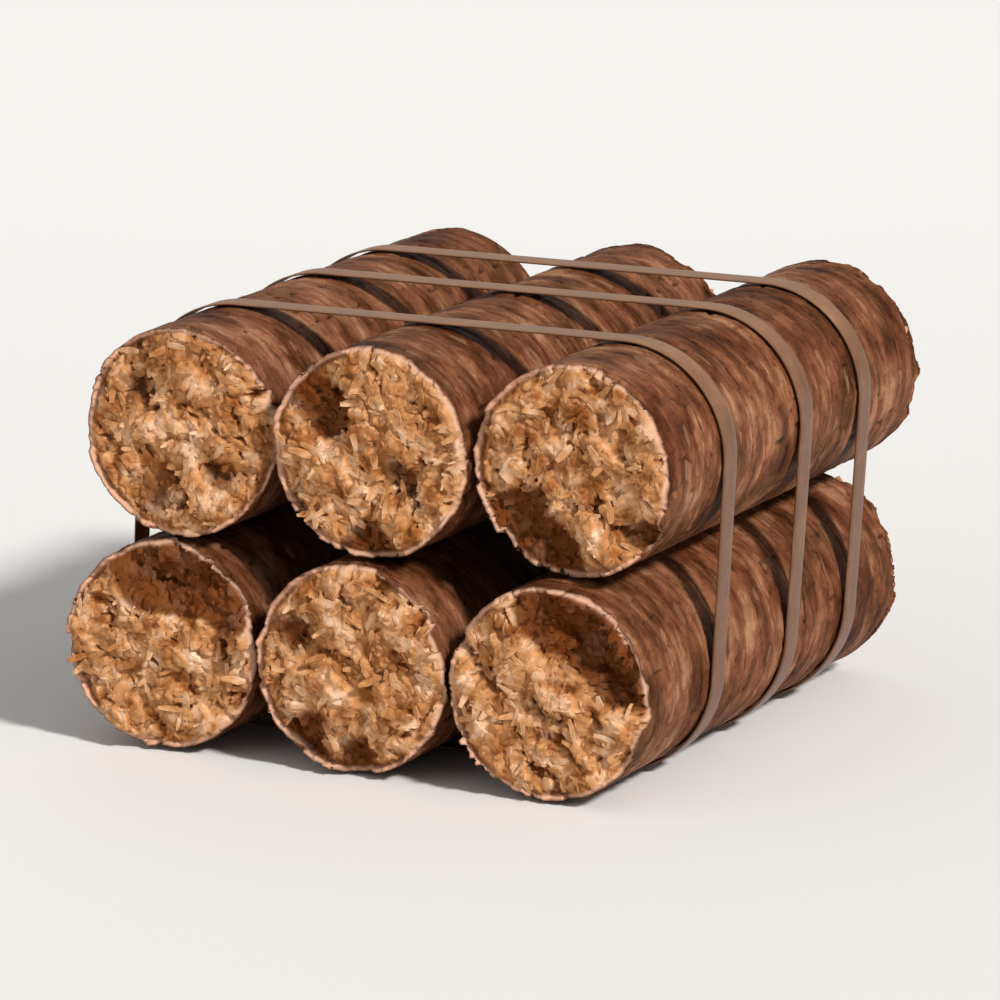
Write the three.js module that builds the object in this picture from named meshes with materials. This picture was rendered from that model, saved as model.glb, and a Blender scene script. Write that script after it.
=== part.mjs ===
// A bundle of six pressed-sawdust firewood logs, bound by three plastic straps.
// The logs lie along Y, three side by side in two layers. Millimetres, +Z up; the origin is
// under the middle of the bundle, on the surface it rests on. The front is at -Y.
import * as THREE from 'three';

// Driving dimensions.
const LOG_RADIUS = 43.4;
const LOG_LENGTH = 256;
const FIT_GAP = 0.3; // between neighbouring logs, and between a log and a strap
const LAYER_SHIFT = 5; // how far the upper layer sits to the right of the lower one
const STRAP_WIDTH = 12;
const STRAP_THICKNESS = 0.7;
const WELD_LENGTH = 34; // how far a strap's two ends overlap under the bundle

// Worked out from them.
const LOG_PITCH = 2 * LOG_RADIUS + FIT_GAP;
const LAYER_RISE = Math.sqrt(LOG_PITCH ** 2 - LAYER_SHIFT ** 2);
const STRAP_INNER_RADIUS = LOG_RADIUS + FIT_GAP;
const STRAP_OUTER_RADIUS = STRAP_INNER_RADIUS + STRAP_THICKNESS;
const LOWER_AXIS_Z = STRAP_OUTER_RADIUS;

// How finely a log is faceted, and how its rim is broken away.
const SIDES = 44;
const END_RINGS = [0.24, 0.45, 0.64, 0.8, 0.92, 1]; // shares of the rim's radius, middle first
const RIM_INSET = 1.1; // how far the rim stands inside the full radius
const RIM_LENGTH = 2.5; // and how far along the log it reaches the full radius
const STRAP_CORNER_STEPS = 7; // three.js gives an arc twice this many straight steps

// The logs as seen from the front: a column and a layer, and how far each has slid to the back.
// An end is broken off, not sawn. lean is how far its right and its top stand back, and wave
// turns its ripples. A bite is [clock, place, size, depth]: degrees from +X towards +Z, then
// place and size in shares of the radius, then millimetres.
const LOGS = [
  {
    name: 'log_upper_left', column: -1, layer: 1, slide: 4.5,
    front: {
      lean: [1.4, 1.8], wave: 0.4,
      bites: [[137, 0.58, 0.3, 3.5], [322, 0.57, 0.34, 4], [239, 0.62, 0.42, 4]],
    },
    back: { lean: [-1.5, 1], wave: 2.1, bites: [[40, 0.9, 0.5, 6], [190, 0.5, 0.35, 4]] },
  },
  {
    name: 'log_upper_middle', column: 0, layer: 1, slide: 3,
    front: {
      lean: [-1, 1.2], wave: 1.7,
      bites: [[142, 0.54, 0.38, 6], [327, 0.35, 0.24, 6], [268, 0.85, 0.36, 5]],
    },
    back: { lean: [2, -1.5], wave: 3.3, bites: [[200, 0.85, 0.5, 6], [80, 0.5, 0.35, 4]] },
  },
  {
    name: 'log_upper_right', column: 1, layer: 1, slide: 5.5,
    front: {
      lean: [0.8, -1.2], wave: 2.6,
      bites: [[222, 0.68, 0.4, 7], [258, 0.8, 0.34, 6], [322, 0.9, 0.26, 4]],
    },
    back: { lean: [1, 2], wave: 0.9, bites: [[300, 0.86, 0.45, 7]] },
  },
  {
    name: 'log_lower_left', column: -1, layer: 0, slide: -3,
    front: {
      lean: [1, 2], wave: 3.9,
      bites: [[108, 0.64, 0.42, 7], [68, 0.66, 0.42, 8], [28, 0.74, 0.3, 5]],
    },
    back: { lean: [-2, -1], wave: 1.2, bites: [[150, 0.88, 0.5, 5], [290, 0.6, 0.3, 5]] },
  },
  {
    name: 'log_lower_middle', column: 0, layer: 0, slide: -4.5,
    front: {
      lean: [-1.6, 0.6], wave: 5.1,
      bites: [[154, 0.62, 0.26, 4], [236, 0.78, 0.34, 5], [272, 0.82, 0.28, 5]],
    },
    back: { lean: [1, 1.6], wave: 4.2, bites: [[20, 0.9, 0.55, 8]] },
  },
  {
    name: 'log_lower_right', column: 1, layer: 0, slide: -5.5,
    front: {
      lean: [1.2, 1], wave: 0.2,
      bites: [[92, 0.66, 0.34, 9], [54, 0.62, 0.36, 10], [14, 0.68, 0.32, 8]],
    },
    back: { lean: [-1, 2], wave: 2.9, bites: [[230, 0.8, 0.5, 6], [120, 0.9, 0.35, 5]] },
  },
];

// Where each strap crosses the bundle: y at the underside, and how far its top has slipped along Y.
const STRAPS = [
  { name: 'strap_front', y: -66, slip: -1.5 },
  { name: 'strap_middle', y: 6, slip: 2.5 },
  { name: 'strap_back', y: 66, slip: 3 },
];

const pressedWood = new THREE.MeshStandardMaterial({ color: 0x8a5a3c, roughness: 0.85, metalness: 0 });
const strapPlastic = new THREE.MeshStandardMaterial({ color: 0x35312e, roughness: 0.45, metalness: 0 });

// The middle of a log, or of a strap's corner round one, in X and height.
const axisX = (column, layer) => column * LOG_PITCH + (layer - 0.5) * LAYER_SHIFT;
const axisZ = (layer) => LOWER_AXIS_Z + layer * LAYER_RISE;

// How far a broken end stands back at an angle and at r, a share of the rim's radius.
function breakDepth(end, angle, r) {
  const x = r * Math.cos(angle);
  const z = r * Math.sin(angle);
  let depth = (end.lean[0] * (1 + x) + end.lean[1] * (1 + z)) / 2;
  depth += r * (1.3 + 0.8 * Math.sin(3 * angle + end.wave) + 0.5 * Math.sin(7 * angle + 2 * end.wave));
  for (const [clock, place, size, deep] of end.bites) {
    const at = THREE.MathUtils.degToRad(clock);
    const away = Math.hypot(x - place * Math.cos(at), z - place * Math.sin(at)) / size;
    depth += deep * (1 - THREE.MathUtils.smoothstep(away, 0.35, 1));
  }
  return depth;
}

// The closed skin of one log about the Y axis: rings from the front's middle to the back's.
function logGeometry(log) {
  const frontY = (angle, r) => breakDepth(log.front, angle, r) - LOG_LENGTH / 2;
  const backY = (angle, r) => LOG_LENGTH / 2 - breakDepth(log.back, angle, r);
  const rimRadius = LOG_RADIUS - RIM_INSET;
  const rings = [
    ...END_RINGS.map((r) => (angle) => [r * rimRadius, frontY(angle, r)]),
    (angle) => [LOG_RADIUS, frontY(angle, 1) + RIM_LENGTH],
    (angle) => [LOG_RADIUS, backY(angle, 1) - RIM_LENGTH],
    ...END_RINGS.toReversed().map((r) => (angle) => [r * rimRadius, backY(angle, r)]),
  ];

  const points = [0, frontY(0, 0), 0];
  for (const ring of rings) {
    for (let i = 0; i < SIDES; i++) {
      const angle = (2 * Math.PI * i) / SIDES;
      const [radius, y] = ring(angle);
      points.push(radius * Math.cos(angle), y, radius * Math.sin(angle));
    }
  }
  points.push(0, backY(0, 0), 0);

  const last = 1 + rings.length * SIDES;
  const faces = [];
  for (let i = 0; i < SIDES; i++) {
    const next = (i + 1) % SIDES;
    faces.push(0, 1 + i, 1 + next);
    for (let ring = 0; ring < rings.length - 1; ring++) {
      const a = 1 + ring * SIDES;
      const b = a + SIDES;
      faces.push(a + i, b + i, b + next, a + i, b + next, a + next);
    }
    faces.push(last, last - SIDES + next, last - SIDES + i);
  }
  const geometry = new THREE.BufferGeometry();
  geometry.setAttribute('position', new THREE.Float32BufferAttribute(points, 3));
  geometry.setIndex(faces);
  geometry.computeVertexNormals();
  return geometry;
}

function makeLog(log) {
  const mesh = new THREE.Mesh(logGeometry(log), pressedWood);
  mesh.name = log.name;
  mesh.position.set(axisX(log.column, log.layer), log.slide, axisZ(log.layer));
  return mesh;
}

// The line a strap takes round the logs, in X and height: round the four corner logs, and
// straight between them. The sides lean, because the upper layer sits to the right.
function strapLine(path, radius) {
  const sideNormal = -Math.atan2(LAYER_SHIFT, LAYER_RISE);
  const quarter = Math.PI / 2;
  path.absarc(axisX(1, 0), axisZ(0), radius, -quarter, sideNormal, false);
  path.absarc(axisX(1, 1), axisZ(1), radius, sideNormal, quarter, false);
  path.absarc(axisX(-1, 1), axisZ(1), radius, quarter, sideNormal + 2 * quarter, false);
  path.absarc(axisX(-1, 0), axisZ(0), radius, sideNormal + 2 * quarter, 3 * quarter, false);
  return path;
}

// The hole in a strap's section. The strap's two ends are welded where they overlap on the
// underside, so the strap is twice as thick there, between two of the lower logs.
function strapHole() {
  const hole = strapLine(new THREE.Path(), STRAP_INNER_RADIUS);
  const weldX = (axisX(-1, 0) + axisX(0, 0)) / 2;
  const inside = axisZ(0) - STRAP_INNER_RADIUS;
  hole.lineTo(weldX - WELD_LENGTH / 2, inside);
  hole.lineTo(weldX - WELD_LENGTH / 2, inside + STRAP_THICKNESS);
  hole.lineTo(weldX + WELD_LENGTH / 2, inside + STRAP_THICKNESS);
  hole.lineTo(weldX + WELD_LENGTH / 2, inside);
  return hole;
}

function makeStrap(strap) {
  const outline = strapLine(new THREE.Shape(), STRAP_OUTER_RADIUS);
  outline.holes.push(strapHole());
  const geometry = new THREE.ExtrudeGeometry(outline, {
    depth: STRAP_WIDTH,
    bevelEnabled: false,
    curveSegments: STRAP_CORNER_STEPS,
  });
  // Stand the loop up across the bundle, and let it slip along Y towards its top.
  const height = axisZ(1) + STRAP_OUTER_RADIUS;
  geometry.translate(0, 0, -STRAP_WIDTH / 2);
  geometry.rotateX(Math.PI / 2);
  geometry.applyMatrix4(new THREE.Matrix4().makeShear(0, 0, 0, 0, 0, strap.slip / height));
  const mesh = new THREE.Mesh(geometry, strapPlastic);
  mesh.name = strap.name;
  mesh.position.y = strap.y;
  return mesh;
}

const bundle = new THREE.Group();
for (const log of LOGS) bundle.add(makeLog(log));
for (const strap of STRAPS) bundle.add(makeStrap(strap));

// Put the origin under the middle of what the broken ends leave.
const extent = new THREE.Box3().setFromObject(bundle);
bundle.position.set(-(extent.min.x + extent.max.x) / 2, -(extent.min.y + extent.max.y) / 2, -extent.min.z);

export default bundle;
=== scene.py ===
import itertools
import math

import bpy
import numpy as np
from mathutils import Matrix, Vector
from mathutils.bvhtree import BVHTree


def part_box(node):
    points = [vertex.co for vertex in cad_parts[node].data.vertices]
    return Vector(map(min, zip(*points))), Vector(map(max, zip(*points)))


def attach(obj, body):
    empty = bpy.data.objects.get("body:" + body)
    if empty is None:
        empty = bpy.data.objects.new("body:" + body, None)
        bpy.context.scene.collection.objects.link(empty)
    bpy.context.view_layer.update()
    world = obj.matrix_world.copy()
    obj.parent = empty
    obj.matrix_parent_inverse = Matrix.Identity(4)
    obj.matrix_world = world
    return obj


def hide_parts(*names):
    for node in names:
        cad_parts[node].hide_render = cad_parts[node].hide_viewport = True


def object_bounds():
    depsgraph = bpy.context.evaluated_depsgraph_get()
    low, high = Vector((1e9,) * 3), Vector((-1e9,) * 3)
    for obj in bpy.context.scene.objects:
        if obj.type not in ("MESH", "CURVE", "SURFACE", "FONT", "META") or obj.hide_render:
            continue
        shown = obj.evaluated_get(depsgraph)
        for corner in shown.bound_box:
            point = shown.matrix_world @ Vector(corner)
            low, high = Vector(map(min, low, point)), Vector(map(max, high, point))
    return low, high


# A bundle of six pressed-sawdust firewood logs, bound by three plastic straps. Metres, +Z up.
# The logs lie along Y with their front ends at -Y.
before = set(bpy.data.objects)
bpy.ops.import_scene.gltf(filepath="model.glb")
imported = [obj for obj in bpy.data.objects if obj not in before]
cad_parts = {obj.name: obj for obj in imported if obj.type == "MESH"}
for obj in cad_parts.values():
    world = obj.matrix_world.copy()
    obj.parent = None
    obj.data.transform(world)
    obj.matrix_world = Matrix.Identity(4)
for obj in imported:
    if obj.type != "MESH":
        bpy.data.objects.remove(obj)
cad_low, cad_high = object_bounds()

# ---------------------------------------------------------------------------------------------
# The six logs. Each is a rod of sawdust and planer shavings, pressed hot through a round die
# with no glue. The die toasts the skin brown. A log is snapped off to length, so its ends are
# crumbling stacks of pale shavings with ledges, hollows and a chipped rim.
# ---------------------------------------------------------------------------------------------
MM = 0.001
END_CELLS = 128  # squares across a log's end
AROUND = 2 * END_CELLS  # faces around the skin, half as many as the rim has
RASTER = 0.4 * MM  # how finely a broken end is worked out
RASTER_HALF = 44 * MM
CAD_STEP = 5  # raster cells between the places where the CAD log's end is measured
CAD_REACH = 0.966  # the share of the radius out to which it is measured
SKIN_RASTER = 0.8 * MM  # how finely the skin is worked out
STROKE = (9 * MM, 14 * MM)  # what one stroke of the press adds to the log
ROW_PITCH = 2.1 * MM  # rows of faces along the skin, between the press's grooves
GROOVE_HALF = 0.8 * MM  # half of a groove's width
RIM_FADE = 14 * MM  # how far along the skin its rows still follow the jagged rim
SHAVINGS = 150  # loose ones on each end
END_FLAKES = 1300  # flakes bedded in each end
LEDGE = 2.6 * MM  # the height of one step of a broken end
CREVICE = 3.2 * MM  # the depth of its cracks
HOLLOW_SHADE_FROM = 0.7  # the share of the radius past which a hollow's painted shade is drawn out to the rim
LIP_GROOVE = 1.9 * MM  # the depth of the groove inside a rim that stands up as a lip
CHAMFER = 1.6 * MM  # how much a rim without a lip is broken away
SKIN_FLAKES = 2600  # flakes pressed into each skin
SKIN_FLAKE_THICK = 0.42 * MM
GROOVE_DEPTH = (0.16 * MM, 0.36 * MM)  # what a press groove has everywhere, and adds where it opens
SPLIT_DEPTH = 1.6 * MM  # what a groove that has split adds
PIT_DEPTH = 1.1 * MM
SHARP_EDGE = math.radians(38)  # faces that meet at more than this have a hard edge
GRAIN = (250, 1400, 40)  # a flake's streaks in a metre, along it and across, and how tint parts them


def smooth(values, low, high):
    """0 below low and 1 above high, with a soft step between."""
    t = np.clip((values - low) / (high - low), 0, 1)
    return t * t * (3 - 2 * t)


def chance(cells, seed):
    """A number from 0 to 1 for each whole-numbered cell, the same for the same cell and seed."""
    key = np.full(cells.shape[:-1], seed * 7919 + 1, np.uint64)
    for axis in range(cells.shape[-1]):
        key ^= cells[..., axis].astype(np.int64).view(np.uint64)
        key *= np.uint64(0x9E3779B97F4A7C15)
        key ^= key >> np.uint64(29)
        key *= np.uint64(0xBF58476D1CE4E5B9)
        key ^= key >> np.uint64(32)
    return (key >> np.uint64(40)).astype(float) / 2**24


def lumps(points, size, seed):
    """Smooth random lumps of about a size, from -1 to 1, at points of two or three numbers."""
    at = np.asarray(points) / size
    cell = np.floor(at)
    t = at - cell
    t = t * t * (3 - 2 * t)
    total = 0
    for corner in itertools.product((0, 1), repeat=at.shape[-1]):
        weight = np.prod(np.where(corner, t, 1 - t), axis=-1)
        total = total + weight * chance(cell + np.array(corner), seed)
    return 2 * total - 1


def soften(raster, reach):
    """Blurs a raster: each cell takes in those up to reach cells away."""
    taps = np.arange(-reach, reach + 1)
    weights = np.cos(taps / (reach + 1) * math.pi / 2) ** 2
    weights /= weights.sum()
    for axis in (0, 1):
        margin = [(0, 0), (0, 0)]
        margin[axis] = (reach, reach)
        wide = np.pad(raster, margin, mode="edge")
        count = raster.shape[axis]
        raster = sum(w * np.take(wide, np.arange(i, i + count), axis) for i, w in enumerate(weights))
    return raster


def sample(raster, u, v):
    """A raster's values at places u, v, counted in cells, between the cells' middles."""
    u = np.clip(u, 0, raster.shape[0] - 1.001)
    v = np.clip(v, 0, raster.shape[1] - 1.001)
    i, j = u.astype(int), v.astype(int)
    du, dv = u - i, v - j
    near = raster[i, j] * (1 - dv) + raster[i, j + 1] * dv
    far = raster[i + 1, j] * (1 - dv) + raster[i + 1, j + 1] * dv
    return near * (1 - du) + far * du


class Bed:
    """A raster of flakes seen from above: how high each place is, and what lies there."""

    def __init__(self, ground, cell, origin, wraps):
        self.height = ground.copy()
        self.tint = np.full(ground.shape, 0.25)
        self.along = np.zeros(ground.shape)
        self.across = np.zeros(ground.shape)
        self.cell, self.origin, self.wraps = cell, origin, wraps

    def lay(self, flake, ground, ragged):
        """Lays one flake, which shows only where it is higher than what is there."""
        reach = int(flake["length"] / self.cell) + 2
        i0 = int(round((flake["u"] - self.origin[0]) / self.cell))
        j0 = int(round((flake["v"] - self.origin[1]) / self.cell))
        rows, columns = self.height.shape
        i = np.arange(i0 - reach, i0 + reach + 1)
        if not self.wraps:
            i = i[(i >= 0) & (i < rows)]
        j = np.arange(max(j0 - reach, 0), min(j0 + reach + 1, columns))
        if not len(i) or not len(j):
            return
        u = (i * self.cell + self.origin[0] - flake["u"])[:, None]
        v = (j * self.cell + self.origin[1] - flake["v"])[None, :]
        window = np.ix_(i % rows, j)
        cosine, sine = math.cos(flake["turn"]), math.sin(flake["turn"])
        along = u * cosine + v * sine
        across = v * cosine - u * sine
        edge = (along / flake["length"]) ** 4 + (across / flake["width"]) ** 2 + ragged[window]
        i0 = i0 % rows if self.wraps else min(max(i0, 0), rows - 1)
        under = ground[i0, min(max(j0, 0), columns - 1)]
        top = under + flake["lift"] + flake["rise"] * along + flake["roll"] * across
        shown = (edge < 1) & (top > self.height[window])
        for raster, value in (
            (self.height, top),
            (self.tint, flake["tint"]),
            (self.along, along + flake["start"]),
            (self.across, across + flake["start"]),
        ):
            raster[window] = np.where(shown, value, raster[window])


def flakes(random, count, spans, length, slim, lift, tilt):
    """Random flakes: half-lengths, shape, how far they stand up and how they tilt."""
    for _ in range(count):
        half = length[0] * (length[1] / length[0]) ** (random.random() ** 1.6)
        yield {
            "u": random.uniform(*spans[0]),
            "v": random.uniform(*spans[1]),
            "length": half,
            "width": half * random.uniform(*slim),
            "turn": random.uniform(0, math.pi),
            "lift": random.uniform(*lift),
            "rise": random.uniform(-tilt, tilt),
            "roll": random.uniform(-tilt, tilt),
            "tint": random.random(),
            "start": random.uniform(0, 1),
        }


def cad_relief(cad, facing, lines):
    """How far the CAD log's end stands out from the log's middle, over a raster."""
    coarse = lines[::CAD_STEP]
    stand = np.zeros((len(coarse), len(coarse)))
    for i, j in itertools.product(range(len(coarse)), repeat=2):
        away = math.hypot(coarse[i], coarse[j])
        inward = min(1, CAD_REACH * cad["radius"] / max(away, MM))
        start = Vector((coarse[i] * inward + cad["x"], facing * 1.0, coarse[j] * inward + cad["z"]))
        hit = cad["tree"].ray_cast(start, Vector((0, -facing, 0)))[0]
        stand[i, j] = facing * (hit.y - cad["y"])
    cells = np.arange(len(lines)) / CAD_STEP
    u, v = np.meshgrid(cells, cells, indexing="ij")
    return sample(soften(stand, 1), u, v)


# The notches and ridges of the front ends: where each one's middle is, its slope in degrees from
# +X towards +Z, its half-length and half-width, and its height in millimetres. Places and sizes
# are shares of the log's radius.
FRONT_RIDGES = {
    "log_upper_left": (
        (-0.40, 0.36, -41, 0.20, 0.07, -3.6), (0.35, 0.61, -49, 0.18, 0.07, -3.4),
        (-0.42, 0.71, -22, 0.14, 0.06, -2.6), (0.42, -0.32, -32, 0.20, 0.08, -3.0),
        (0.00, -0.03, -40, 0.16, 0.05, -2.2), (0.63, 0.02, -40, 0.32, 0.08, 2.2),
        (0.50, -0.16, -36, 0.24, 0.06, 1.8), (0.18, -0.49, -47, 0.26, 0.09, 2.6),
        (-0.18, 0.16, -55, 0.28, 0.08, 2.0), (-0.70, -0.10, -70, 0.25, 0.07, -2.0),
    ),
    "log_upper_middle": (
        (-0.30, 0.34, -58, 0.18, 0.07, -3.0), (0.29, -0.26, -68, 0.24, 0.07, -4.5),
        (0.52, -0.22, -50, 0.26, 0.08, 2.0), (0.40, -0.66, -34, 0.30, 0.09, 2.8),
        (-0.76, -0.10, -82, 0.40, 0.05, -2.4), (0.10, 0.45, -30, 0.30, 0.08, 1.6),
    ),
    "log_upper_right": (
        (-0.35, -0.42, -28, 0.34, 0.08, 2.4), (0.22, -0.35, -50, 0.12, 0.06, -3.0),
        (0.47, -0.50, -20, 0.14, 0.06, -3.2), (0.76, -0.50, -60, 0.12, 0.06, -3.0),
        (-0.78, 0.02, -84, 0.36, 0.05, -2.4), (0.60, 0.42, -60, 0.22, 0.07, -2.0),
    ),
    "log_lower_left": (
        (-0.28, 0.38, -24, 0.36, 0.07, 2.8), (0.38, 0.59, -37, 0.18, 0.07, 3.2),
        (-0.56, 0.30, -36, 0.16, 0.06, -2.8), (0.26, -0.36, -60, 0.20, 0.06, -2.6),
        (0.62, -0.02, -84, 0.34, 0.06, -2.8), (-0.10, -0.10, -30, 0.34, 0.09, 1.6),
    ),
    "log_lower_middle": (
        (-0.46, 0.22, -39, 0.20, 0.07, -3.2), (0.02, -0.68, -42, 0.22, 0.08, -2.8),
        (0.20, 0.65, -60, 0.12, 0.06, -2.6), (0.50, -0.36, -15, 0.32, 0.08, 2.4),
        (-0.72, -0.16, -82, 0.30, 0.05, -2.2), (-0.10, -0.20, -50, 0.30, 0.08, 1.8),
    ),
    "log_lower_right": (
        (-0.54, 0.12, -15, 0.20, 0.06, -3.2), (-0.42, 0.34, -20, 0.26, 0.12, 1.8),
        (0.76, -0.26, -60, 0.22, 0.07, 2.8), (0.50, -0.22, -55, 0.18, 0.06, -2.8),
        (0.05, 0.00, -40, 0.40, 0.08, 2.2), (-0.10, -0.45, -35, 0.30, 0.08, 1.8),
    ),
}


def ridge(x, z, at_x, at_z, slope, half, wide, height):
    """What one ridge or notch adds to an end. Its lower side is gentler than its upper one."""
    turn = math.radians(slope)
    u, v = x - at_x, z - at_z
    along = (u * math.cos(turn) + v * math.sin(turn)) / half
    across = (v * math.cos(turn) - u * math.sin(turn)) / wide
    across = np.where(across > 0, across, across / 1.8)
    return height * MM * np.exp(-along**4 - across**2)


def broken_end(cad, facing, seed):
    """The bed of flakes of one broken end, the painted shade of each place from how deep down it is, and
    the raster's lines.
    """
    random = np.random.default_rng(seed)
    lines = np.arange(-RASTER_HALF, RASTER_HALF + RASTER / 2, RASTER)
    x, z = np.meshgrid(lines, lines, indexing="ij")
    place = np.stack([x, z], axis=-1)

    # The large hollows are the CAD log's. The break steps between the layers of shavings, which
    # run from the upper left to the lower right on the front ends.
    stand = cad_relief(cad, facing, lines)
    shelf = stand
    lay = math.radians(45) + random.uniform(-0.35, 0.35) if facing < 0 else random.uniform(0, math.pi)
    drawn = np.stack([
        x * math.cos(lay) + z * math.sin(lay), 0.42 * (z * math.cos(lay) - x * math.sin(lay)),
    ], axis=-1)
    for depth, size, extra in ((2.1, 13, 13), (2.4, 7.5, 0), (1.3, 4.2, 1)):
        stand = stand + depth * MM * lumps(drawn, size * MM, seed + extra)
    bend = np.stack([lumps(place, 6 * MM, seed + 6), lumps(place, 6 * MM, seed + 7)], axis=-1)
    bent = drawn + 1.5 * MM * bend
    crevice = 1 - smooth(np.abs(lumps(bent, 11 * MM, seed + 8)), 0.02, 0.16)
    crevice = crevice * smooth(lumps(place, 16 * MM, seed + 9), -0.15, 0.35)
    level = stand / LEDGE + 0.45 * lumps(place, 3.4 * MM, seed + 2)
    stand = LEDGE * (np.floor(level) + smooth(level % 1, 0.35, 1.0)) - CREVICE * crevice
    if facing < 0:
        bent = (place + 1.2 * MM * bend) / cad["radius"]
        for line in FRONT_RIDGES[cad["name"]]:
            stand = stand + ridge(bent[..., 0], bent[..., 1], *line)
    ground = stand - 0.5 * MM

    crumbs = 0.4 * MM * lumps(place, 1.4 * MM, seed + 3)
    bed = Bed(ground - crumbs, RASTER, (lines[0], lines[0]), wraps=False)
    ragged = 0.35 * lumps(place, 1.3 * MM, seed + 4) + 0.25 * lumps(place, 0.6 * MM, seed + 5)
    spans = ((-RASTER_HALF, RASTER_HALF),) * 2
    for flake in flakes(
        random, END_FLAKES, spans,
        length=(1.0 * MM, 6 * MM), slim=(0.22, 0.55), lift=(-0.3 * MM, 0.9 * MM), tilt=0.26,
    ):
        bed.lay(flake, ground, ragged)

    # Low places get painted shade, a dark brown: cracks among the flakes a little, wide hollows more.
    near, wide = soften(bed.height, 8), soften(bed.height, 26)
    hollow = 0.22 * smooth(near - bed.height, 0.2 * MM, 1.7 * MM)
    hollow = hollow + 0.75 * smooth(wide - bed.height, 0.2 * MM, 3.2 * MM)
    level = np.percentile(shelf[np.hypot(x, z) < 0.9 * cad["radius"]], 80)
    # The painted shade of a hollow near the rim is drawn right out to it.
    away = np.hypot(x, z) / cad["radius"]
    inward = (HOLLOW_SHADE_FROM + 0.3 * (away - HOLLOW_SHADE_FROM)) / np.maximum(away, HOLLOW_SHADE_FROM)
    inward = np.where(away > HOLLOW_SHADE_FROM, inward, 1)
    rim_hollow_shade = sample(shelf, (x * inward - lines[0]) / RASTER, (z * inward - lines[0]) / RASTER)
    rim_hollow_shade = smooth(level - rim_hollow_shade, 1.4 * MM, 4.6 * MM)
    return bed, np.maximum(hollow, rim_hollow_shade), lines


class Shell:
    """A log's surface as it grows: points about its middle, what varies over them, and faces."""

    def __init__(self):
        self.points, self.fields, self.quads, self.triangles = [], [], [], []
        self.count = 0

    def add(self, points, tint, hollow, skin, bed_along, bed_across):
        """Adds points with their fields. Gives back the first one's number."""
        start = self.count
        self.points.append(points.reshape(-1, 3))
        columns = np.broadcast_arrays(tint, hollow, skin, bed_along, bed_across)
        self.fields.append(np.stack(columns, axis=-1).reshape(-1, 5))
        self.count += len(self.points[-1])
        return start


def disc_grid():
    """A square grid drawn out to a disc of radius 1: X, Z, its faces, and its rim's numbers."""
    last = END_CELLS
    steps = np.linspace(-1, 1, last + 1)
    a, b = np.meshgrid(steps, steps, indexing="ij")
    wide = np.abs(a) > np.abs(b)
    reach = np.where(wide, a, b)
    with np.errstate(divide="ignore", invalid="ignore"):
        turn = np.where(wide, b / a * math.pi / 4, math.pi / 2 - a / b * math.pi / 4)
    turn = np.where(reach == 0, 0, turn)
    corner = np.arange(last)[:, None] * (last + 1) + np.arange(last)[None, :]
    faces = np.stack([corner, corner + last + 1, corner + last + 2, corner + 1], axis=-1).reshape(-1, 4)
    rim = np.concatenate([
        [(last, j) for j in range(last)],
        [(last - i, last) for i in range(last)],
        [(0, last - j) for j in range(last)],
        [(i, 0) for i in range(last)],
    ])
    return reach * np.cos(turn), reach * np.sin(turn), faces, rim[:, 0] * (last + 1) + rim[:, 1]


disc_x, disc_z, disc_faces, disc_rim = disc_grid()
rim_angle = np.arctan2(disc_z, disc_x).ravel()[disc_rim]


def log_end(shell, cad, facing, seed):
    """Adds a broken end to a log. Gives back the numbers of its rim's points, and their Y."""
    bed, hollow, lines = broken_end(cad, facing, seed)
    angle = np.arctan2(disc_z, disc_x)
    share = np.hypot(disc_x, disc_z)
    circle = np.stack([np.cos(angle), np.sin(angle), np.full(angle.shape, seed * 0.37)], axis=-1)

    # The rim is chipped in places, and in others it stands up as a thin lip with a groove inside.
    rough = 0.35 + 0.65 * smooth(lumps(circle, 0.4, seed + 5), -0.3, 0.5)
    chips = 0.75 * MM * lumps(circle, 0.17, seed) + 0.35 * MM * lumps(circle, 0.09, seed + 1)
    chips = chips + 0.16 * MM * lumps(circle, 0.045, seed + 6)
    radius = cad["radius"] - 0.45 * MM - rough * (0.6 * MM + chips)
    x, z = disc_x * radius, disc_z * radius
    u, v = (x - lines[0]) / RASTER, (z - lines[0]) / RASTER
    stand = sample(bed.height, u, v)
    inward = (1 - share) * cad["radius"]
    lip = smooth(lumps(circle, 0.5, seed + 4) + 0.4 * facing * np.cos(angle), -0.35, 0.25)
    groove = smooth(inward, 0.9 * MM, 1.9 * MM) * (1 - smooth(inward, 2.4 * MM, 5.5 * MM))
    stand = stand - LIP_GROOVE * lip * groove
    chamfer = (1 - 0.75 * lip) * CHAMFER
    chamfer = chamfer + 1.3 * MM * lumps(circle, 0.3, seed + 2) + 0.8 * MM * lumps(circle, 0.09, seed + 3)
    stand = stand - np.maximum(chamfer, 0.3 * MM) * (1 - smooth(inward, 0, 3.4 * MM))

    points = np.stack([x, facing * stand, z], axis=-1)
    nearest = tuple(np.clip(np.rint(cell).astype(int), 0, len(lines) - 1) for cell in (u, v))
    # The groove inside a lip takes painted shade, as the hollows do.
    start = shell.add(
        points, bed.tint[nearest], np.maximum(sample(hollow, u, v), 0.75 * lip * groove),
        1 - smooth(inward, 0, 2.5 * MM), bed.along[nearest], bed.across[nearest],
    )
    shell.quads.append((disc_faces if facing > 0 else disc_faces[:, ::-1]) + start)
    add_shavings(shell, cad, facing, bed, hollow, lines, seed + 400)
    return start + disc_rim, points.reshape(-1, 3)[disc_rim, 1]


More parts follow.
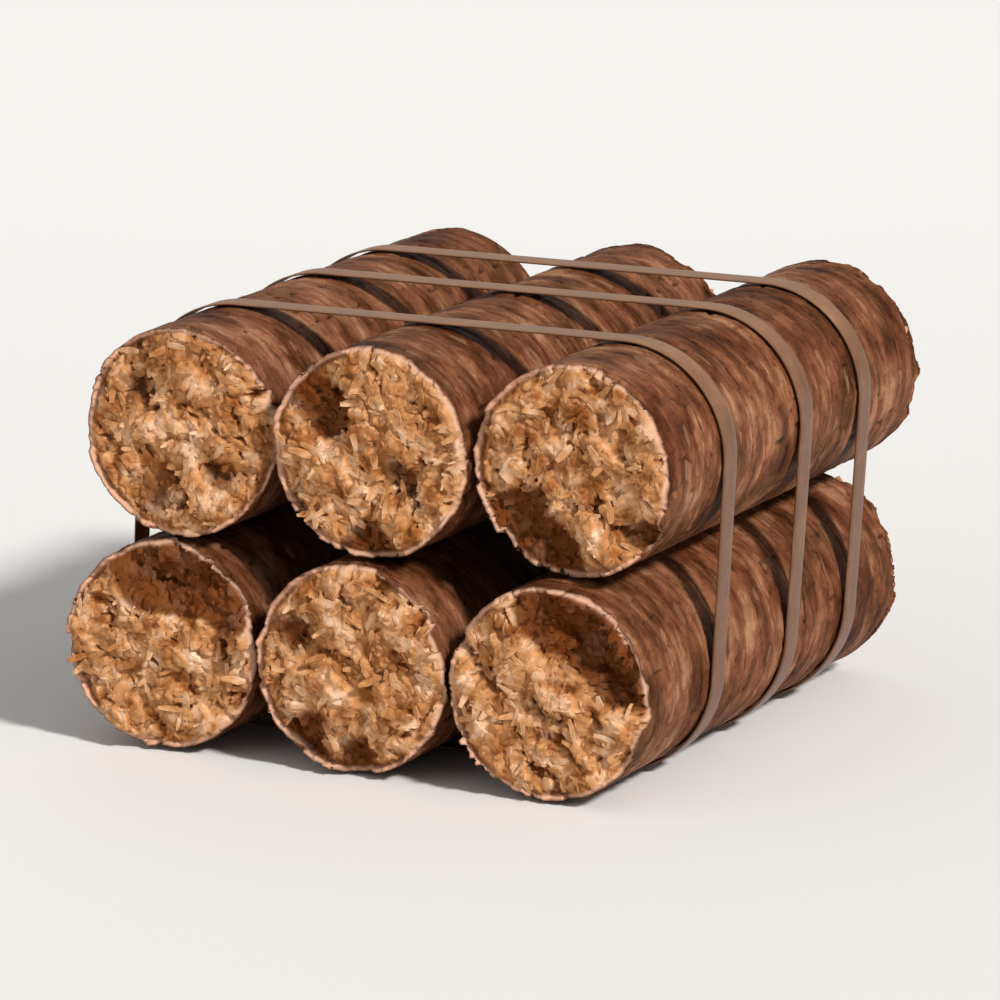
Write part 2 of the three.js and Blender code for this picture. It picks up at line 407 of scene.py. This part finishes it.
def add_shavings(shell, cad, facing, bed, hollow, lines, seed):
    """Adds loose shavings that stick out of a broken end: bent slabs, each closed on its own."""
    random = np.random.default_rng(seed)
    column = (SHAVINGS, 1, 1)
    away = 0.9 * cad["radius"] * np.sqrt(random.random(column))
    clock = random.uniform(0, 2 * math.pi, column)
    turn = random.uniform(0, 2 * math.pi, column)
    half = 1.6 * MM * 3.2 ** random.random(column)
    width = half * random.uniform(0.2, 0.42, column)
    thick = random.uniform(0.3 * MM, 0.6 * MM, column)
    rise = random.uniform(0.02, 0.38, column)
    curl = random.uniform(-0.2, 0.25, column)
    twist = random.uniform(-0.4, 0.4, column)
    tint = random.uniform(0.15, 1.0, column)
    root_x, root_z = away * np.cos(clock), away * np.sin(clock)
    root = (root_x - lines[0]) / RASTER, (root_z - lines[0]) / RASTER
    # A shaving lying in a hollow is shorter, and takes the hollow's painted shade.
    depth = sample(hollow, *root)
    half = half * (1 - 0.5 * depth)

    share = np.linspace(-1, 1, 4).reshape(1, 4, 1)
    side = np.array([-1, 1, 1, -1]).reshape(1, 1, 4)
    level = np.array([-0.5, -0.5, 0.5, 0.5]).reshape(1, 1, 4)
    ragged = random.uniform(0.75, 1.15, (SHAVINGS, 4, 4))
    along = share * half + 0 * side
    across = side * width * (1 - 0.45 * share * share) * ragged
    out = sample(soften(bed.height, 2), *root) - 0.2 * MM
    out = out + rise * half * (share + 0.7) + curl * half * share * share
    out = out + level * thick + twist * across * share
    x = root_x + along * np.cos(turn) - across * np.sin(turn)
    z = root_z + along * np.sin(turn) + across * np.cos(turn)
    start = shell.add(
        np.stack([x, facing * out, z], axis=-1), tint, depth, 0.0,
        along + 10 * tint, across + level * thick + 10 * tint,
    )

    first = start + np.arange(SHAVINGS) * 16
    faces = [(0, 3, 2, 1), (12, 13, 14, 15)]
    for k, c in itertools.product((0, 4, 8), range(4)):
        after = (c + 1) % 4
        faces.append((k + c, k + after, k + 4 + after, k + 4 + c))
    faces = (first[:, None, None] + np.array(faces)).reshape(-1, 4)
    shell.quads.append(faces if facing < 0 else faces[:, ::-1])


def skin_rows(random, length, front, back):
    """Where the press left grooves along a log, and the rows of faces from front to back."""
    grooves = [4 * MM - length / 2]
    while grooves[-1] < length / 2:
        grooves.append(grooves[-1] + random.uniform(*STROKE))
    grooves = grooves[1:]
    rows = []
    edges = [front, *grooves, back]
    for start, stop in zip(edges, edges[1:]):
        plain = stop - start - 2 * GROOVE_HALF
        if plain < 0:
            continue
        count = max(2, int(round(plain / ROW_PITCH)) + 1)
        rows.extend(np.linspace(start + GROOVE_HALF, stop - GROOVE_HALF, count))
        rows.append(stop)
    return grooves, np.array(rows[:-1])


def pressed_flakes(random, radius, length, seed):
    """The skin unrolled, with the flakes that the die pressed flat drawn round the log."""
    around_cells = int(round(2 * math.pi * radius / SKIN_RASTER))
    long_cells = int(length / SKIN_RASTER) + 4
    ground = np.zeros((around_cells, long_cells))
    bed = Bed(ground, SKIN_RASTER, (0, -length / 2), wraps=True)
    i, j = np.meshgrid(np.arange(around_cells), np.arange(long_cells), indexing="ij")
    angle = i * 2 * math.pi / around_cells
    place = np.stack([radius * np.cos(angle), j * SKIN_RASTER, radius * np.sin(angle)], axis=-1)
    ragged = 0.5 * lumps(place, 2 * MM, seed + 8)
    spans = ((0, 2 * math.pi * radius), (-length / 2, length / 2))
    for flake in flakes(
        random, SKIN_FLAKES, spans,
        length=(1.6 * MM, 7 * MM), slim=(0.3, 0.7), lift=(0, SKIN_FLAKE_THICK), tilt=0.03,
    ):
        flake["turn"] = (flake["turn"] - math.pi / 2) * 0.22
        bed.lay(flake, ground, ragged)
    return bed


def log_skin(shell, cad, rims, seed):
    """Adds the skin to a log, from one rim to the other."""
    random = np.random.default_rng(seed)
    radius, length = cad["radius"], cad["length"]
    front, back = rims[0][1][::2], rims[1][1][::2]
    grooves, rows = skin_rows(random, length, front.max() + 1.6 * MM, back.min() - 1.6 * MM)
    angle = np.broadcast_to(rim_angle[::2], (len(rows), AROUND))
    base = np.repeat(rows[:, None], AROUND, axis=1)
    ring = np.stack([radius * np.cos(angle), base, radius * np.sin(angle)], axis=-1)

    # Near a rim the rows follow it; in between they wander a little.
    at_front = 1 - smooth(base, rows[0], rows[0] + RIM_FADE)
    at_back = smooth(base, rows[-1] - RIM_FADE, rows[-1])
    y = base + (front + 0.9 * MM - rows[0]) * at_front + (back - 0.9 * MM - rows[-1]) * at_back
    y = y + (1 - at_front) * (1 - at_back) * 1.3 * MM * lumps(ring, 24 * MM, seed + 5)

    # Everything lies inside the CAD log's radius: dents, grooves that open here and there into
    # splits, the flakes' edges, pits, and the crumbled edge beside each rim.
    dent = np.zeros(base.shape)
    for depth, size, extra in ((0.2, 45, 6), (0.13, 11, 7), (0.16, 4.2, 12)):
        dent = dent + depth * MM * (1 + lumps(ring, size * MM, seed + extra))
    groove_shade = np.zeros(base.shape)
    for number, groove in enumerate(grooves):
        here = np.abs(base - groove) < 0.3 * MM
        near = np.abs(base - groove) < 1.2 * MM
        opening = lumps(ring * (1, 0, 1), 17 * MM, seed + 100 + number)
        split = smooth(opening, 0.4, 0.85) * random.choice((0, 0.3, 1))
        depth = GROOVE_DEPTH[0] + GROOVE_DEPTH[1] * smooth(opening, -0.8, 0.3) + SPLIT_DEPTH * split
        dent = dent + np.where(here, depth, np.where(near, 0.15 * depth, 0))
        # A groove's bottom takes painted shade, darker where it opens or splits.
        groove_shade = groove_shade + np.where(here, smooth(depth, 0, 0.9 * MM), 0)
    bed = pressed_flakes(random, radius, length, seed)
    around_cells, long_cells = bed.height.shape
    u = angle % (2 * math.pi) / (2 * math.pi) * around_cells
    v = (y + length / 2) / SKIN_RASTER
    dent = dent + SKIN_FLAKE_THICK - sample(np.concatenate([bed.height, bed.height[:2]]), u, v)
    pit = smooth(lumps(ring, 3.6 * MM, seed + 9), 0.62, 0.9)
    dent = dent + PIT_DEPTH * pit
    near_rim = np.minimum(base - rows[0], rows[-1] - base)
    crumble = lumps(ring * (1, 0, 1), 6 * MM, seed + 10) + lumps(ring, 3 * MM, seed + 11)
    dent = dent + np.maximum(0.2, 0.6 + 0.5 * crumble) * MM * (1 - smooth(near_rim, 0, 3 * MM))

    reach = radius - np.maximum(dent, 0)
    points = np.stack([reach * np.cos(angle), y, reach * np.sin(angle)], axis=-1)
    nearest = np.rint(u).astype(int) % around_cells, np.clip(np.rint(v).astype(int), 0, long_cells - 1)
    # Grooves and pits are painted dark as shade.
    start = shell.add(
        points, bed.tint[nearest], np.maximum(groove_shade, 0.7 * pit), 1.0,
        bed.along[nearest], bed.across[nearest],
    )
    index = start + np.arange(len(rows))[:, None] * AROUND + np.arange(AROUND)[None, :]
    after = np.roll(index, -1, axis=1)
    shell.quads.append(np.stack([index[:-1], index[1:], after[1:], after[:-1]], axis=-1).reshape(-1, 4))

    # The rim has twice as many points as the skin, so three triangles join each pair of faces.
    for rim, here, flip in ((rims[0][0], index[0], False), (rims[1][0], index[-1], True)):
        there = np.roll(here, -1)
        first, second, third = rim[0::2], rim[1::2], np.roll(rim[0::2], -1)
        strip = np.concatenate([
            np.stack([first, here, second], axis=-1),
            np.stack([second, here, there], axis=-1),
            np.stack([second, there, third], axis=-1),
        ])
        shell.triangles.append(strip[:, ::-1] if flip else strip)


def make_piece(name, points, quads, triangles, place=(0, 0, 0)):
    """A smooth-shaded mesh object from arrays of points, four-sided and three-sided faces."""
    mesh = bpy.data.meshes.new(name)
    mesh.vertices.add(len(points))
    mesh.vertices.foreach_set("co", points.ravel())
    corners = np.concatenate([quads.ravel(), triangles.ravel()]).astype(np.int32)
    starts = np.concatenate([np.arange(len(quads)) * 4, 4 * len(quads) + np.arange(len(triangles)) * 3])
    mesh.loops.add(len(corners))
    mesh.loops.foreach_set("vertex_index", corners)
    mesh.polygons.add(len(starts))
    mesh.polygons.foreach_set("loop_start", starts.astype(np.int32))
    mesh.polygons.foreach_set("use_smooth", np.ones(len(starts), bool))
    mesh.update(calc_edges=True)
    mesh.set_sharp_from_angle(angle=SHARP_EDGE)
    piece = bpy.data.objects.new(name, mesh)
    piece.location = place
    bpy.context.scene.collection.objects.link(piece)
    return piece


class Signal:
    """One output of a node. Sums on it add Math nodes, and node() adds any other node."""

    def __init__(self, tree, socket):
        self.tree = tree
        self.socket = socket

    def node(self, kind, settings=None, sockets=None):
        """Adds a node: its settings first, then the values or links of its sockets."""
        made = self.tree.nodes.new(kind)
        for name, value in (settings or {}).items():
            if name == "stops":
                ramp = made.color_ramp
                while len(ramp.elements) < len(value):
                    ramp.elements.new(0.5)
                for stop, (position, colour) in zip(ramp.elements, value):
                    stop.position = position
                    stop.color = colour
            else:
                setattr(made, name, value)
        for name, value in (sockets or {}).items():
            if isinstance(name, int):
                socket = made.inputs[name]
            else:
                socket = next(s for s in made.inputs if s.enabled and s.name == name)
            if isinstance(value, Signal):
                self.tree.links.new(value.socket, socket)
            else:
                socket.default_value = value
        return {s.name: Signal(self.tree, s) for s in made.outputs if s.enabled}

    def math(self, operation, *others):
        """Adds a Math node that takes this signal first."""
        sockets = {number: value for number, value in enumerate((self, *others))}
        return self.node("ShaderNodeMath", {"operation": operation}, sockets)["Value"]

    def __add__(self, other):
        return self.math("ADD", other)

    def __sub__(self, other):
        return self.math("SUBTRACT", other)

    def __rsub__(self, other):
        return (self * -1.0).math("ADD", other)

    def __mul__(self, other):
        return self.math("MULTIPLY", other)

    __radd__ = __add__
    __rmul__ = __mul__

    def step(self, low, high):
        """0 below low and 1 above high, softly between."""
        return self.node("ShaderNodeMapRange", {"interpolation_type": "SMOOTHSTEP"}, {
            "Value": self, "From Min": low, "From Max": high,
        })["Result"]

    def mix(self, one, other):
        """A colour between one and other, by this signal."""
        return self.node("ShaderNodeMix", {"data_type": "RGBA"}, {
            "Factor": self, "A": one, "B": other,
        })["Result"]

    def ramp(self, *stops):
        """A colour read off a row of stops, each a position and a colour."""
        opaque = [(position, (*colour, 1)) for position, colour in stops]
        return self.node("ShaderNodeValToRGB", {"stops": opaque}, {"Fac": self})["Color"]

    def noise(self, scale, detail=2.0, roughness=0.5):
        """Smooth noise at the places this signal gives, with lumps about 1 / scale across."""
        return self.node("ShaderNodeTexNoise", {"noise_dimensions": "3D"}, {
            "Vector": self, "Scale": scale, "Detail": detail, "Roughness": roughness,
        })["Fac"]


def new_material(name):
    """An empty node material, as a place to start signals from."""
    material = bpy.data.materials.new(name)
    material.use_nodes = True
    material.node_tree.nodes.clear()
    return material, Signal(material.node_tree, None)


# Colours from dark to pale, each with its place on the way.
SHAVING_COLOURS = (
    (0.0, (0.14, 0.034, 0.005)),
    (0.25, (0.31, 0.107, 0.029)),
    (0.55, (0.57, 0.275, 0.112)),
    (0.95, (0.88, 0.60, 0.40)),
)
RUSSET_COLOURS = (
    (0.0, (0.042, 0.010, 0.003)),
    (0.35, (0.110, 0.033, 0.012)),
    (0.65, (0.20, 0.070, 0.030)),
    (1.0, (0.35, 0.160, 0.085)),
)
OLIVE_COLOURS = (
    (0.0, (0.034, 0.013, 0.004)),
    (0.35, (0.090, 0.038, 0.014)),
    (0.65, (0.17, 0.080, 0.034)),
    (1.0, (0.31, 0.180, 0.092)),
)
HOLLOW_SHADE_COLOUR = (0.120, 0.026, 0.003, 1)
FLECK_COLOUR = (0.40, 0.22, 0.12, 1)
SPLIT_SHADE_COLOUR = (0.012, 0.004, 0.002, 1)
RIM_COLOUR = (0.66, 0.38, 0.25, 1)
SKIN_CHIPS = 330.0  # chips of the skin's mosaic in a metre of its length

wood, make = new_material("pressed_wood")
place = make.node("ShaderNodeAttribute", {"attribute_name": "place"})["Vector"]
tint = make.node("ShaderNodeAttribute", {"attribute_name": "tint"})["Fac"]
hollow = make.node("ShaderNodeAttribute", {"attribute_name": "hollow"})["Fac"]
skin = make.node("ShaderNodeAttribute", {"attribute_name": "skin"})["Fac"]
grain = make.node("ShaderNodeAttribute", {"attribute_name": "grain"})["Vector"]

# The broken ends: pale shavings with streaks along each, with painted shade down in the hollows.
fibre = grain.noise(1.0, 3.0, 0.6)
crumbs = make.node("ShaderNodeTexVoronoi", {"feature": "F1"}, {
    "Vector": place, "Scale": 420.0, "Randomness": 1.0,
})["Color"]
crumb = make.node("ShaderNodeSeparateColor", None, {"Color": crumbs})["Red"]
patch = place.noise(95.0, 3.0, 0.55)
shade = tint * 0.30 + fibre * 0.34 + crumb * 0.10 + (patch - 0.5) * 1.5 + 0.15
end_colour = shade.ramp(*SHAVING_COLOURS)
# Painted shade: the hollows, the groove inside a lip and the shavings in them turn deep brown.
end_colour = (hollow.step(0.2, 1.0) * 0.9).mix(end_colour, HOLLOW_SHADE_COLOUR)

# The skin: toasted and pressed flat, a mosaic of shavings drawn round the log. Girth is the way
# round the log in metres, so that the skin can be unrolled.
turned = make.node("ShaderNodeSeparateXYZ", None, {"Vector": place})
low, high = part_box("log_lower_middle")
girth = turned["X"].math("ARCTAN2", turned["Z"] * -1.0) * ((high.x - low.x) / 2)
wander = place.noise(260.0)
unrolled = make.node("ShaderNodeCombineXYZ", None, {
    "X": girth * 0.42 + wander * (1.2 * MM), "Y": turned["Y"] + wander * (1.2 * MM), "Z": 0.0,
})["Vector"]
mosaic = make.node("ShaderNodeTexVoronoi", {"feature": "F1", "voronoi_dimensions": "2D"}, {
    "Vector": unrolled, "Scale": SKIN_CHIPS, "Randomness": 1.0,
})["Color"]
chip = make.node("ShaderNodeSeparateColor", None, {"Color": mosaic})
seam = make.node("ShaderNodeTexVoronoi", {"feature": "DISTANCE_TO_EDGE", "voronoi_dimensions": "2D"}, {
    "Vector": unrolled, "Scale": SKIN_CHIPS, "Randomness": 1.0,
})["Distance"]
seam = 1.0 - seam.step(0.0, 0.09)
speck = place.noise(900.0)
blotch = place.noise(28.0, 4.0, 0.6)


def streaks(stretch, bend, scale, detail):
    """Noise drawn out round the log, this many times as long as it is wide."""
    drawn = make.node("ShaderNodeCombineXYZ", None, {
        "X": girth * (1 / stretch), "Y": turned["Y"] + wander * bend, "Z": turned["Y"] * 0.13,
    })["Vector"]
    return drawn.noise(scale, detail, 0.62)


broad = streaks(2.4, 1.6 * MM, 80.0, 3.0)
stroke = streaks(7.0, 0.8 * MM, 420.0, 4.0)
skin_shade = chip["Red"] * 0.16 + tint * 0.15 + (blotch - 0.5) * 1.5 + (broad - 0.5) * 2.1
skin_shade = skin_shade + (stroke - 0.5) * 0.5 + (speck - 0.5) * 0.25 - seam * 0.12 + 0.35
russet, olive = skin_shade.ramp(*RUSSET_COLOURS), skin_shade.ramp(*OLIVE_COLOURS)
skin_colour = (place.noise(60.0, 3.0, 0.6).step(0.4, 0.62) * 0.4).mix(russet, olive)
skin_colour = (chip["Green"].step(0.95, 0.99) * 0.3).mix(skin_colour, FLECK_COLOUR)
# Painted shade: grooves, splits and pits turn near-black.
skin_colour = (hollow.step(0.1, 0.8) * 0.8).mix(skin_colour, SPLIT_SHADE_COLOUR)
colour = skin.mix(end_colour, skin_colour)
colour = (skin * (1.0 - skin) * 3.5).mix(colour, RIM_COLOUR)

end_relief = fibre * 0.5 + crumb * 0.35 + speck * 0.15
skin_relief = chip["Red"] * 0.25 + speck * 0.25 + wander * 0.15 + stroke * 0.4 - seam * 0.3
relief = end_relief * (1.0 - skin) + skin_relief * skin
bump = make.node("ShaderNodeBump", None, {
    "Height": relief, "Strength": 0.55, "Distance": 0.6 * MM,
})["Normal"]
surface = make.node("ShaderNodeBsdfPrincipled", None, {
    "Base Color": colour, "Roughness": 0.86 - skin * 0.3 + (speck - 0.5) * 0.25, "Normal": bump,
    "Specular IOR Level": 0.06,
})["BSDF"]
make.node("ShaderNodeOutputMaterial", None, {"Surface": surface})

log_names = sorted(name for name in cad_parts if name.startswith("log_"))
for number, name in enumerate(log_names):
    low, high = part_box(name)
    middle = (low + high) / 2
    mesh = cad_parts[name].data
    cad = {
        "name": name, "x": middle.x, "y": middle.y, "z": middle.z,
        "radius": (high.x - low.x) / 2, "length": high.y - low.y,
        "tree": BVHTree.FromPolygons([v.co for v in mesh.vertices], [p.vertices for p in mesh.polygons]),
    }
    seed = 11 + number
    shell = Shell()
    rims = [log_end(shell, cad, facing, seed * 10 + end) for end, facing in enumerate((-1, 1))]
    log_skin(shell, cad, rims, seed)
    points, fields = np.concatenate(shell.points), np.concatenate(shell.fields)
    piece = make_piece(
        name.replace("log", "pressed_log"), points,
        np.concatenate(shell.quads), np.concatenate(shell.triangles), middle,
    )
    # The seam of the colours' angle faces the other layer, and no two logs share their noise.
    flip = -1 if "upper" in name else 1
    spots = points * (1, 1, flip) + (0, number * 0.5, 0)
    grains = fields[:, (3, 4, 0)] * GRAIN
    for field, kind, key, values in (
        ("place", "FLOAT_VECTOR", "vector", spots),
        ("grain", "FLOAT_VECTOR", "vector", grains),
        ("tint", "FLOAT", "value", fields[:, 0]),
        ("hollow", "FLOAT", "value", fields[:, 1]),
        ("skin", "FLOAT", "value", fields[:, 2]),
    ):
        layer = piece.data.attributes.new(field, kind, "POINT")
        layer.data.foreach_set(key, values.astype(np.float32).ravel())
    piece.data.materials.append(wood)
    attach(piece, "root")
    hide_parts(name)

# ---------------------------------------------------------------------------------------------
# The three straps. Each is a band of grey-brown plastic with a waffle pattern rolled into it,
# drawn tight round the logs by a strapping tool. Its two ends are lapped under the bundle and
# welded by friction. Sawdust lies on it, and its upward faces are painted paler, partly as
# settled sawdust and partly as a painted sheen.
# ---------------------------------------------------------------------------------------------
STRAP_THICK = 0.8 * MM
STRAP_EDGE = 0.25 * MM  # the roundness of its edges
WELD_LENGTH = 34 * MM
LAP_RUN = 9 * MM  # how soon the inner end comes down beside the outer one
STRAP_STEP = 4 * MM  # the most between two sections on a straight run
STRAP_TURN = math.radians(2.2)  # and round a log
STRAP_SWAY = 0.3 * MM  # how far it wanders along the bundle
WAFFLE = (2200.0, 1500.0)  # its pattern along the strap and across, in radians in a metre
STRAP_COLOUR = (0.125, 0.052, 0.024, 1)
DUST_AND_SHEEN_COLOUR = (0.37, 0.190, 0.098, 1)

corner_logs = [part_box(name) for name in (
    "log_lower_left", "log_upper_left", "log_upper_right", "log_lower_right",
)]
corners = [(low + high) / 2 for low, high in corner_logs]
low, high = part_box("log_lower_middle")
middle_log = (low + high) / 2


def strap_line(outside):
    """The middle of a strap's thickness, in X and Z: from one lapped end right round to the other."""
    reach = corners[0].z - outside - STRAP_THICK / 2
    weld = (corners[0].x + middle_log.x) / 2
    line = []
    for x in np.linspace(weld + WELD_LENGTH / 2, weld - WELD_LENGTH / 2, 14):
        line.append((x, outside + 1.5 * STRAP_THICK))
    for share in np.linspace(0, 1, 8)[1:]:
        x = weld - WELD_LENGTH / 2 - LAP_RUN * share
        line.append((x, outside + (1.5 - share * share * (3 - 2 * share)) * STRAP_THICK))
    lean = math.atan2(corners[1].x - corners[0].x, corners[1].z - corners[0].z)
    turns = (
        (-math.pi / 2, -math.pi - lean), (math.pi - lean, math.pi / 2),
        (math.pi / 2, -lean), (-lean, -math.pi / 2),
    )
    for corner, (start, stop) in zip(corners, turns):
        arc = np.linspace(start, stop, 2 + int(abs(stop - start) / STRAP_TURN))
        points = [(corner.x + reach * math.cos(a), corner.z + reach * math.sin(a)) for a in arc]
        line.extend(straight(line[-1], points[0]))
        line.extend(points)
    line.extend(straight(line[-1], (weld - WELD_LENGTH / 2, outside + STRAP_THICK / 2)))
    return np.array(line)


def straight(start, stop):
    """Points along a strap's straight run, without its start."""
    length = math.hypot(stop[0] - start[0], stop[1] - start[1])
    shares = np.linspace(0, 1, 2 + int(length / STRAP_STEP))[1:]
    return [tuple(np.add(start, np.subtract(stop, start) * share)) for share in shares]


def strap_band(name, seed):
    """A strap's points and faces: its flat section swept along its line. With them go each
    point's place on the strap, and how far it faces up, which paints it paler as settled sawdust
    and a painted sheen."""
    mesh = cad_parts[name].data
    spots = np.array([v.co for v in mesh.vertices])
    low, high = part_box(name)
    foot = spots[spots[:, 2] < low.z + 2 * MM, 1]
    crown = spots[spots[:, 2] > high.z - 2 * MM, 1]
    wide = foot.max() - foot.min()
    slip = crown.mean() - foot.mean()
    line = strap_line(low.z)
    keep = np.ones(len(line), bool)
    keep[1:] = np.hypot(*np.diff(line, axis=0).T) > 0.05 * MM
    line = line[keep]
    run = np.concatenate([[0], np.cumsum(np.hypot(*np.diff(line, axis=0).T))])
    ahead = np.gradient(line, axis=0)
    ahead /= np.hypot(*ahead.T)[:, None]
    out = np.stack([-ahead[:, 1], ahead[:, 0]], axis=-1)
    half, thick, edge = wide / 2, STRAP_THICK / 2, STRAP_EDGE
    section = [
        (-half + edge, -thick), (-half / 2, -thick), (0, -thick),
        (half / 2, -thick), (half - edge, -thick),
        (half - 0.3 * edge, -thick + 0.3 * edge), (half, -thick + edge), (half, thick - edge),
        (half - 0.3 * edge, thick - 0.3 * edge), (half - edge, thick),
        (half / 2, thick), (0, thick), (-half / 2, thick), (-half + edge, thick),
        (-half + 0.3 * edge, thick - 0.3 * edge), (-half, thick - edge), (-half, -thick + edge),
        (-half + 0.3 * edge, -thick + 0.3 * edge),
    ]
    section = np.array(section)
    steps = np.stack([run, np.full(len(run), seed * 0.1)], axis=-1)
    sway = STRAP_SWAY * lumps(steps, 70 * MM, seed)
    y = foot.mean() + slip * (line[:, 1] - low.z) / (high.z - low.z) + sway
    points = np.zeros((len(line), len(section), 3))
    points[:, :, 0] = line[:, 0, None] + out[:, 0, None] * section[None, :, 1]
    points[:, :, 2] = line[:, 1, None] + out[:, 1, None] * section[None, :, 1]
    points[:, :, 1] = y[:, None] + section[None, :, 0]
    around_section = len(section)
    index = np.arange(len(line))[:, None] * around_section + np.arange(around_section)[None, :]
    after = np.roll(index, -1, axis=1)
    sides = np.stack([index[:-1], after[:-1], after[1:], index[1:]], axis=-1).reshape(-1, 4)
    # Each end is closed by strips across the flat section.
    caps = []
    for i in range(around_section // 2 - 1):
        j = around_section - 1 - i
        caps.append((index[0, i], index[0, j], index[0, j - 1], index[0, i + 1]))
        caps.append((index[-1, i], index[-1, i + 1], index[-1, j - 1], index[-1, j]))
    place = np.zeros(points.shape)
    place[:, :, 0] = run[:, None]
    place[:, :, 1] = section[None, :, 0]
    place[:, :, 2] = section[None, :, 1] + seed * 0.5
    # Faces that point up are painted paler: partly settled sawdust, partly a painted sheen.
    settled = np.maximum(out[:, 1, None], 0) * (section[None, :, 1] > 0)
    faces = np.concatenate([sides, np.array(caps)])
    return points.reshape(-1, 3), faces, place.reshape(-1, 3), settled.ravel()


plastic, make = new_material("strap_plastic")
place = make.node("ShaderNodeAttribute", {"attribute_name": "strap_place"})["Vector"]
turned = make.node("ShaderNodeSeparateXYZ", None, {"Vector": place})
wave = (turned["X"] * WAFFLE[0] + turned["Y"] * WAFFLE[1]).math("SINE")
counter = (turned["X"] * WAFFLE[0] - turned["Y"] * WAFFLE[1]).math("SINE")
emboss = (wave * counter).step(-0.6, 0.6)
dust = place.noise(60.0, 5.0, 0.65)
rubbed = make.node("ShaderNodeCombineXYZ", None, {
    "X": turned["X"] * 0.12, "Y": turned["Y"], "Z": turned["Z"],
})["Vector"]
scuff = rubbed.noise(900.0)
# Painted sheen and settled sawdust: the upward faces turn paler.
settled = make.node("ShaderNodeAttribute", {"attribute_name": "settled"})["Fac"]
settled = settled.step(0.25, 0.9) * (dust * 0.5 + 0.15)
dust_and_sheen = dust.step(0.4, 0.8) * 0.3 + scuff.step(0.6, 0.85) * 0.3 + settled
colour = dust_and_sheen.mix(STRAP_COLOUR, DUST_AND_SHEEN_COLOUR)
bump = make.node("ShaderNodeBump", None, {
    "Height": emboss * 0.6 + scuff * 0.25, "Strength": 0.35, "Distance": 0.25 * MM,
})["Normal"]
surface = make.node("ShaderNodeBsdfPrincipled", None, {
    "Base Color": colour, "Roughness": 0.30 + dust_and_sheen * 0.35, "Normal": bump,
    "Specular IOR Level": 0.22,
})["BSDF"]
make.node("ShaderNodeOutputMaterial", None, {"Surface": surface})

for number, name in enumerate(("strap_front", "strap_middle", "strap_back")):
    points, faces, place, settled = strap_band(name, seed=71 + number)
    piece = make_piece(name.replace("strap", "plastic_strap"), points, faces, np.zeros((0, 3), int))
    layer = piece.data.attributes.new("strap_place", "FLOAT_VECTOR", "POINT")
    layer.data.foreach_set("vector", place.astype(np.float32).ravel())
    layer = piece.data.attributes.new("settled", "FLOAT", "POINT")
    layer.data.foreach_set("value", settled.astype(np.float32))
    piece.data.materials.append(plastic)
    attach(piece, "root")
    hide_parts(name)

# ---------------------------------------------------------------------------------------------
# The set. A pale paper floor that curves up into a backdrop, a soft sun from the upper right, two
# weak fill lights, one in front and one behind, and a long lens.
# ---------------------------------------------------------------------------------------------
FLAT_FLOOR = 3.5  # how far out the floor is flat, before it curves up into the backdrop
BACKDROP = (5.0, 0.7)  # how wide and how high the curve is
SKY = 0.38  # how strong the even light from all round is
LIGHT_AWAY = 2.0  # how far from the bundle the lights stand
CAMERA_AT = (26, 12.5, 2.75)  # its azimuth and elevation, and how far away it stands
LENS = 240

turns = np.linspace(0, 2 * math.pi, 96, endpoint=False)
shares = np.linspace(0, 1, 16)
reach = (FLAT_FLOOR + BACKDROP[0] * shares)[:, None]
height = BACKDROP[1] * smooth(shares, 0, 1)[:, None]
rings = np.stack([reach * np.cos(turns), reach * np.sin(turns), height + 0 * turns], axis=-1)
points = np.concatenate([rings.reshape(-1, 3), [(0, 0, 0)]])
index = np.arange(len(reach))[:, None] * len(turns) + np.arange(len(turns))[None, :]
after = np.roll(index, -1, axis=1)
quads = np.stack([index[:-1], index[1:], after[1:], after[:-1]], axis=-1).reshape(-1, 4)
triangles = np.stack([np.full(len(turns), len(points) - 1), index[0], after[0]], axis=-1)
floor = make_piece("floor", points, quads, triangles)
paper, make = new_material("floor_paper")
surface = make.node("ShaderNodeBsdfPrincipled", None, {
    "Base Color": (0.78, 0.76, 0.73, 1), "Roughness": 0.85,
})["BSDF"]
make.node("ShaderNodeOutputMaterial", None, {"Surface": surface})
floor.data.materials.append(paper)

centre = (cad_low + cad_high) / 2


def around(azimuth, elevation, distance):
    """A place round the bundle: azimuth 0 is in front, 90 to the right."""
    a, e = math.radians(azimuth), math.radians(elevation)
    return centre + distance * Vector((
        math.sin(a) * math.cos(e), -math.cos(a) * math.cos(e), math.sin(e),
    ))


for name, kind, azimuth, elevation, size, strength in (
    ("key_light", "SUN", 68, 38, math.radians(8), 3.6),
    ("front_fill", "AREA", -25, 25, 1.4, 3.0),
    ("back_fill", "AREA", 205, 28, 1.6, 2.6),
):
    data = bpy.data.lights.new(name, kind)
    data.energy = strength
    if kind == "SUN":
        data.angle = size
    else:
        data.size = size
    lamp = bpy.data.objects.new(name, data)
    lamp.location = around(azimuth, elevation, LIGHT_AWAY)
    lamp.rotation_euler = (centre - lamp.location).to_track_quat("-Z", "Y").to_euler()
    bpy.context.scene.collection.objects.link(lamp)

world = bpy.data.worlds.new("studio")
world.use_nodes = True
world.node_tree.nodes["Background"].inputs["Color"].default_value = (1, 1, 1, 1)
world.node_tree.nodes["Background"].inputs["Strength"].default_value = SKY
bpy.context.scene.world = world
bpy.context.scene.view_settings.view_transform = "Standard"

camera_data = bpy.data.cameras.new("camera")
camera_data.lens = LENS
camera = bpy.data.objects.new("camera", camera_data)
camera.location = around(*CAMERA_AT)
camera.rotation_euler = (centre - camera.location).to_track_quat("-Z", "Y").to_euler()
bpy.context.scene.collection.objects.link(camera)
bpy.context.scene.camera = camera
